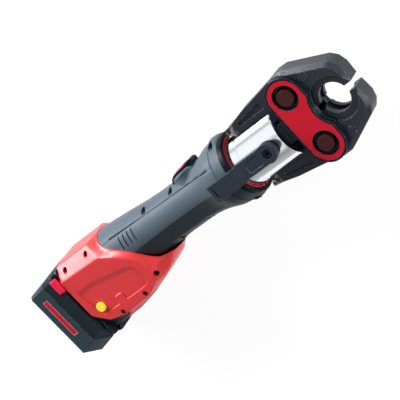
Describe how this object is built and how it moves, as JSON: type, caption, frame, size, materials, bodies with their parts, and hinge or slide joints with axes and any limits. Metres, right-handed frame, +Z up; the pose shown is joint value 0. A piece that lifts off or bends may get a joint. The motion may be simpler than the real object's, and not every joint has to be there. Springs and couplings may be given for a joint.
{
  "type": "press tool",
  "caption": "Hand-held battery press tool with a turning fork head, hinged press jaws worked by a ram, a locking bolt with a lever, a trigger and a slide-off battery pack.",
  "frame": {"origin": "on the battery pack's flat end face, on the axis that the head turns about", "axes": "+X along the tool towards the jaws, +Y towards the trigger side, +Z up with the tool lying on its side, along the jaw pins"},
  "size_m": [0.4678, 0.1253, 0.0841],
  "materials": {
    "grip_plastic": "matt slate grey, finely grained",
    "red_plastic": "satin red",
    "black_plastic": "matt black",
    "yellow_plastic": "satin yellow",
    "pack_plastic": "matt dark slate",
    "red_seal": "satin red",
    "red_label": "smooth red film",
    "jaw_steel": "dark phosphated cast steel",
    "pin_steel": "brown tempered steel",
    "polished_steel": "polished plated steel",
    "black_steel": "black oxide",
    "machined_steel": "machined",
    "screw_steel": "zinc plated",
    "spring_steel": "drawn wire",
    "pump_aluminium": "machined",
    "motor_steel": "zinc plated",
    "rotor_steel": "laminated steel with copper windings",
    "magnet": "sintered ferrite",
    "gear_brass": "sintered steel",
    "contact_brass": "bright",
    "board_green": "solder resist",
    "cell_sleeve": "shrink sleeve",
    "black_rubber": "matt"
  },
  "bodies": {
    "tool": {"handle_top": "grip_plastic", "handle_bottom": "grip_plastic", "handle_screws": "screw_steel", "housing_top": "red_plastic", "housing_bottom": "red_plastic", "housing_screws": "screw_steel", "receiver": "black_plastic", "receiver_contacts": "contact_brass", "swivel_sleeve": "black_steel", "seal_ring": "red_seal", "cylinder": "machined_steel", "oil_bladder": "black_rubber", "return_spring": "spring_steel", "pump_block": "pump_aluminium", "pump_plunger": "machined_steel", "pump_plug": "screw_steel", "gearbox": "pump_aluminium", "output_bearing": "machined_steel", "motor_can": "motor_steel", "motor_magnets": "magnet", "circuit_board": "board_green", "trigger_switch": "black_plastic", "trigger_pin": "machined_steel", "trigger_spring": "spring_steel", "reset_switch": "board_green", "reset_spring": "spring_steel"},
    "rotor": {"motor_rotor": "rotor_steel", "motor_shaft": "machined_steel"},
    "gear_carrier": {"carrier": "machined_steel"},
    "planet_a": {"planet_1": "gear_brass"},
    "planet_b": {"planet_2": "gear_brass"},
    "planet_c": {"planet_3": "gear_brass"},
    "trigger_lever": {"trigger": "grip_plastic", "trigger_insert": "red_plastic"},
    "reset": {"reset_button": "yellow_plastic"},
    "head": {"fork_head": "polished_steel", "snap_ring": "spring_steel", "side_plates": "jaw_steel", "label_panels": "black_plastic", "label_faces": "red_label", "jaw_pins": "pin_steel", "circlips": "black_steel", "jaw_spring": "spring_steel"},
    "upper_jaw": {"jaw_upper": "jaw_steel"},
    "lower_jaw": {"jaw_lower": "jaw_steel"},
    "ram": {"piston_rod": "machined_steel", "roller_holder": "machined_steel", "roller_axles": "machined_steel"},
    "upper_roller": {"roller_upper": "machined_steel"},
    "lower_roller": {"roller_lower": "machined_steel"},
    "bolt": {"lock_bolt": "black_steel", "lever_screw": "black_steel"},
    "lever": {"bolt_lever": "black_plastic"},
    "pack": {"pack_lower": "pack_plastic", "pack_upper": "pack_plastic", "cells": "cell_sleeve", "pack_label": "red_label", "latch_springs": "spring_steel"},
    "release_top": {"latch_top": "red_plastic"},
    "release_bottom": {"latch_bottom": "red_plastic"}
  },
  "joints": [
    {"name": "rotor_spin", "type": "hinge", "parent": "tool", "child": "rotor", "pos_m": [0.1, 0, 0], "axis": [1, 0, 0], "continuous": true},
    {"name": "carrier_spin", "type": "hinge", "parent": "tool", "child": "gear_carrier", "pos_m": [0.15, 0, 0], "axis": [1, 0, 0], "continuous": true},
    {"name": "planet_a_spin", "type": "hinge", "parent": "gear_carrier", "child": "planet_a", "pos_m": [0.133, 0.01125, 0], "axis": [1, 0, 0], "continuous": true},
    {"name": "planet_b_spin", "type": "hinge", "parent": "gear_carrier", "child": "planet_b", "pos_m": [0.133, -0.00562, 0.00974], "axis": [1, 0, 0], "continuous": true},
    {"name": "planet_c_spin", "type": "hinge", "parent": "gear_carrier", "child": "planet_c", "pos_m": [0.133, -0.00562, -0.00974], "axis": [1, 0, 0], "continuous": true},
    {"name": "trigger_press", "type": "hinge", "parent": "tool", "child": "trigger_lever", "pos_m": [0.262, 0.0256, 0], "axis": [0, 0, 1], "range_deg": [0, 5], "stiffness_Nm_per_rad": 0.6, "deforming": ["trigger_spring"]},
    {"name": "reset_press", "type": "slide", "parent": "tool", "child": "reset", "axis": [0, 0, -1], "range_m": [0, 0.003], "stiffness_N_per_m": 400, "deforming": ["reset_spring"]},
    {"name": "head_swivel", "type": "hinge", "parent": "tool", "child": "head", "pos_m": [0.3, 0, 0], "axis": [1, 0, 0], "range_deg": [-135, 135]},
    {"name": "jaw_upper_turn", "type": "hinge", "parent": "head", "child": "upper_jaw", "pos_m": [0.4056, 0.029, 0], "axis": [0, 0, 1], "range_deg": [-2.8, 13], "deforming": ["jaw_spring", "return_spring"]},
    {"name": "jaw_lower_turn", "type": "hinge", "parent": "head", "child": "lower_jaw", "pos_m": [0.4056, -0.029, 0], "axis": [0, 0, 1], "range_deg": [-13, 2.8]},
    {"name": "ram_slide", "type": "slide", "parent": "head", "child": "ram", "axis": [1, 0, 0], "range_m": [-0.0287, 0.0063]},
    {"name": "roller_upper_spin", "type": "hinge", "parent": "ram", "child": "upper_roller", "pos_m": [0.3336, 0.0108, 0], "axis": [0, 0, 1], "continuous": true},
    {"name": "roller_lower_spin", "type": "hinge", "parent": "ram", "child": "lower_roller", "pos_m": [0.3336, -0.0108, 0], "axis": [0, 0, 1], "continuous": true},
    {"name": "bolt_pull", "type": "slide", "parent": "head", "child": "bolt", "axis": [0, 0, 1], "range_m": [0, 0.045]},
    {"name": "lever_turn", "type": "hinge", "parent": "bolt", "child": "lever", "pos_m": [0.36, 0, 0.034], "axis": [0, 0, 1], "range_deg": [0, 90]},
    {"name": "pack_slide", "type": "slide", "parent": "tool", "child": "pack", "axis": [0, 1, 0], "range_m": [0, 0.06]},
    {"name": "release_top_press", "type": "slide", "parent": "pack", "child": "release_top", "axis": [0, 0, -1], "range_m": [0, 0.003], "stiffness_N_per_m": 500, "deforming": ["latch_springs"]},
    {"name": "release_bottom_press", "type": "slide", "parent": "pack", "child": "release_bottom", "axis": [0, 0, 1], "range_m": [0, 0.003], "stiffness_N_per_m": 500, "deforming": ["latch_springs"]}
  ],
  "couplings": [
    {"joint": "carrier_spin", "follows": "rotor_spin", "ratio": 0.2},
    {"joint": "planet_a_spin", "follows": "rotor_spin", "ratio": -0.53333},
    {"joint": "planet_b_spin", "follows": "rotor_spin", "ratio": -0.53333},
    {"joint": "planet_c_spin", "follows": "rotor_spin", "ratio": -0.53333},
    {"joint": "jaw_lower_turn", "follows": "jaw_upper_turn", "ratio": -1},
    {"joint": "ram_slide", "follows": "jaw_upper_turn", "m_per_rad": -0.12605}
  ]
}
